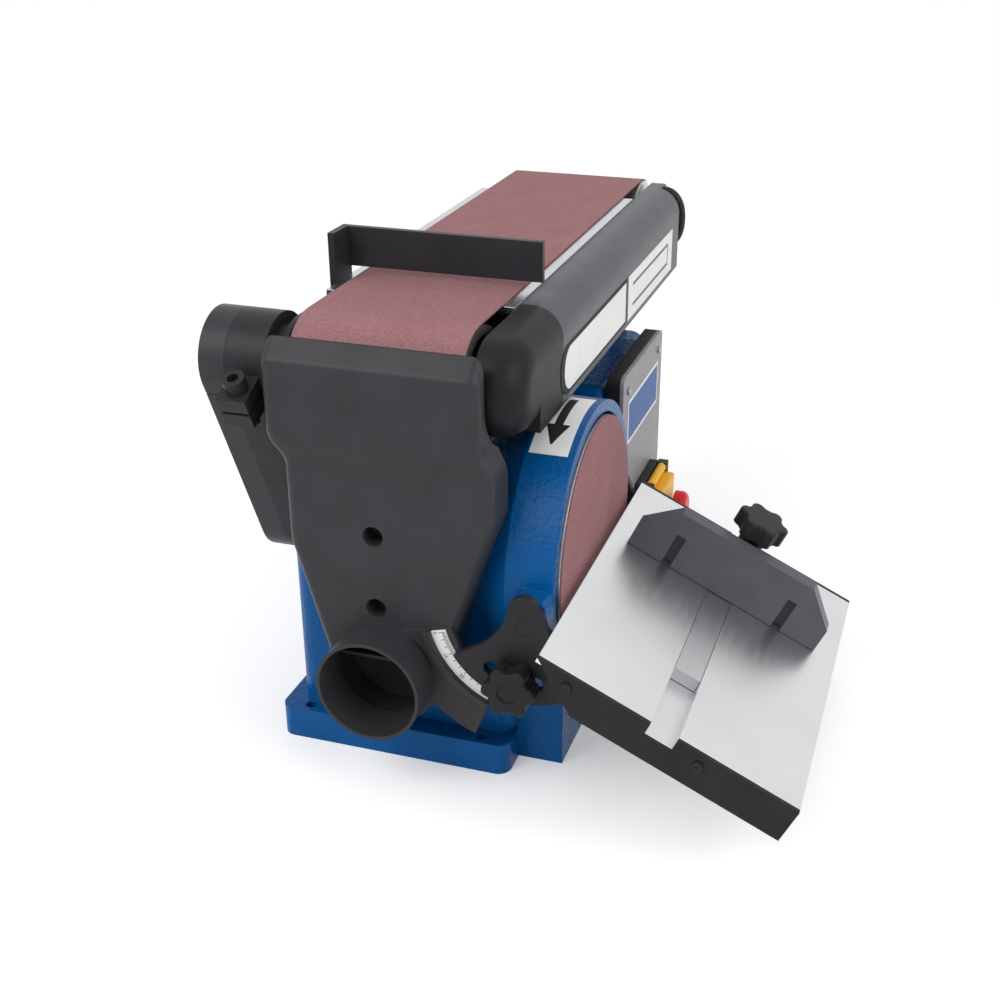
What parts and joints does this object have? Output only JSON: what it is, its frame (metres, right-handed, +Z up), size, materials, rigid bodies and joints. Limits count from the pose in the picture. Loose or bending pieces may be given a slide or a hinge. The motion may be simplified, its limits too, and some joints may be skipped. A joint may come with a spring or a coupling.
{
  "type": "belt and disc sander",
  "caption": "Bench belt and disc sander: cast housing, disc with tilting table and mitre gauge, tilting belt arm with work stop, dust hood and switch with safety flap.",
  "frame": {"origin": "on the underside of the base, at the centre of its four bolt holes", "axes": "+X out of the sanding disc, +Y along the belt away from the operator, +Z up"},
  "size_m": [0.3528, 0.4716, 0.294],
  "materials": {
    "blue_casting": "glossy blue paint over a rough casting",
    "hood_plastic": "satin dark grey moulding",
    "black_paint": "satin black paint",
    "shield_paint": "satin dark grey paint",
    "abrasive": "red brown abrasive grain",
    "bright_aluminium": "fine brushed",
    "bright_steel": "machined steel",
    "zinc_steel": "zinc plated",
    "black_plastic": "fine textured black moulding",
    "black_rubber": "matt rubber",
    "white_scale": "printed white plate",
    "grey_plate": "satin grey plate",
    "yellow_plastic": "gloss yellow moulding",
    "red_plastic": "gloss red moulding",
    "green_plastic": "gloss green moulding",
    "copper_core": "wound core"
  },
  "bodies": {
    "base": {"housing": "blue_casting", "cable_gland": "black_plastic", "motor_case": "zinc_steel", "stator": "copper_core", "motor_bearings": "bright_steel", "drive_belt": "black_rubber", "pivot_bracket": "black_paint", "clamp_bolt": "black_paint", "drive_cover": "hood_plastic", "drive_cover_cap": "hood_plastic", "arm_rest": "shield_paint", "dust_hood": "hood_plastic", "hood_screws": "black_paint", "tilt_scale": "white_scale", "pivot_pins": "black_paint", "lock_stud": "zinc_steel", "switch_box": "black_plastic", "switch_plate": "grey_plate", "plate_screws": "zinc_steel", "switch_base": "black_plastic", "flap_pin": "zinc_steel"},
    "rotor": {"motor_shaft": "bright_steel", "rotor_core": "zinc_steel", "disc_plate": "bright_aluminium", "disc_paper": "abrasive", "motor_pulley": "bright_aluminium"},
    "arm": {"arm_frame": "black_paint", "arm_hub": "black_paint", "drum_bearings": "bright_steel", "platen": "bright_steel", "side_shield": "shield_paint", "sanding_belt": "abrasive", "stop_screw": "zinc_steel", "tension_spring": "zinc_steel"},
    "drive_drum_set": {"drive_drum": "black_rubber", "drum_shaft": "bright_steel", "drum_pulley": "bright_aluminium"},
    "carriage": {"idler_carriage": "black_paint", "idler_axle": "bright_steel"},
    "idler_set": {"idler_drum": "bright_aluminium", "idler_bearings": "bright_steel"},
    "tracking": {"tracking_knob": "black_plastic"},
    "lever": {"tension_lever": "black_paint"},
    "stop": {"work_stop": "black_paint"},
    "table": {"table_top": "bright_aluminium", "table_end_caps": "black_plastic", "table_screws": "black_paint", "trunnion_front": "black_paint", "trunnion_rear": "black_paint"},
    "table_lock": {"lock_knob": "black_plastic"},
    "gauge_bar": {"mitre_bar": "bright_aluminium"},
    "gauge_head": {"mitre_head": "hood_plastic", "mitre_scale": "white_scale"},
    "gauge_knob": {"mitre_knob": "black_plastic"},
    "flap": {"stop_flap": "yellow_plastic"},
    "red_button": {"stop_button": "red_plastic"},
    "green_button": {"start_button": "green_plastic"}
  },
  "joints": [
    {"name": "disc_spin", "type": "hinge", "parent": "base", "child": "rotor", "pos_m": [0, -0.09, 0.12], "axis": [1, 0, 0], "continuous": true},
    {"name": "arm_tilt", "type": "hinge", "parent": "base", "child": "arm", "pos_m": [0, -0.146, 0.235], "axis": [1, 0, 0], "range_deg": [0, 90]},
    {"name": "drum_spin", "type": "hinge", "parent": "arm", "child": "drive_drum_set", "pos_m": [0, -0.146, 0.235], "axis": [1, 0, 0], "continuous": true},
    {"name": "tension_slide", "type": "slide", "parent": "arm", "child": "carriage", "axis": [0, 1, 0], "range_m": [-0.01, 0], "deforming": ["tension_spring"]},
    {"name": "idler_spin", "type": "hinge", "parent": "carriage", "child": "idler_set", "pos_m": [0, 0.21581, 0.235], "axis": [1, 0, 0], "continuous": true},
    {"name": "tracking_turn", "type": "hinge", "parent": "carriage", "child": "tracking", "pos_m": [0.066, 0.21581, 0.235], "axis": [1, 0, 0], "range_deg": [-180, 180]},
    {"name": "tension_lever_turn", "type": "hinge", "parent": "arm", "child": "lever", "pos_m": [-0.059, 0.09, 0.228], "axis": [-1, 0, 0], "range_deg": [0, 80]},
    {"name": "stop_slide", "type": "slide", "parent": "arm", "child": "stop", "axis": [0, 0, 1], "range_m": [0, 0.006]},
    {"name": "table_tilt", "type": "hinge", "parent": "base", "child": "table", "pos_m": [0.09, -0.1, 0.1142], "axis": [0, 1, 0], "range_deg": [-25.24, 19.76]},
    {"name": "table_lock_turn", "type": "hinge", "parent": "base", "child": "table_lock", "pos_m": [0.08453, -0.2, 0.07963], "axis": [0, -1, 0], "range_deg": [0, 180]},
    {"name": "gauge_slide", "type": "slide", "parent": "table", "child": "gauge_bar", "axis": [0, 1, 0], "range_m": [-0.09, 0.03]},
    {"name": "gauge_swing", "type": "hinge", "parent": "gauge_bar", "child": "gauge_head", "pos_m": [0.17607, -0.048, 0.08689], "axis": [0.4264, 0, 0.9045], "range_deg": [-60, 60]},
    {"name": "gauge_knob_turn", "type": "hinge", "parent": "gauge_bar", "child": "gauge_knob", "pos_m": [0.18375, -0.048, 0.10317], "axis": [0.4264, 0, 0.9045], "range_deg": [0, 180]},
    {"name": "flap_swing", "type": "hinge", "parent": "base", "child": "flap", "pos_m": [0.103, 0.064, 0.0948], "axis": [0, -1, 0], "range_deg": [0, 100]},
    {"name": "stop_press", "type": "slide", "parent": "flap", "child": "red_button", "axis": [-1, 0, 0], "range_m": [0, 0.004], "stiffness_N_per_m": 400},
    {"name": "start_press", "type": "slide", "parent": "base", "child": "green_button", "axis": [-1, 0, 0], "range_m": [0, 0.002], "stiffness_N_per_m": 400}
  ],
  "couplings": [
    {"joint": "drum_spin", "follows": "disc_spin", "ratio": 0.52381},
    {"joint": "idler_spin", "follows": "disc_spin", "ratio": 0.52381},
    {"joint": "tension_lever_turn", "follows": "tension_slide", "rad_per_m": -139.63}
  ]
}
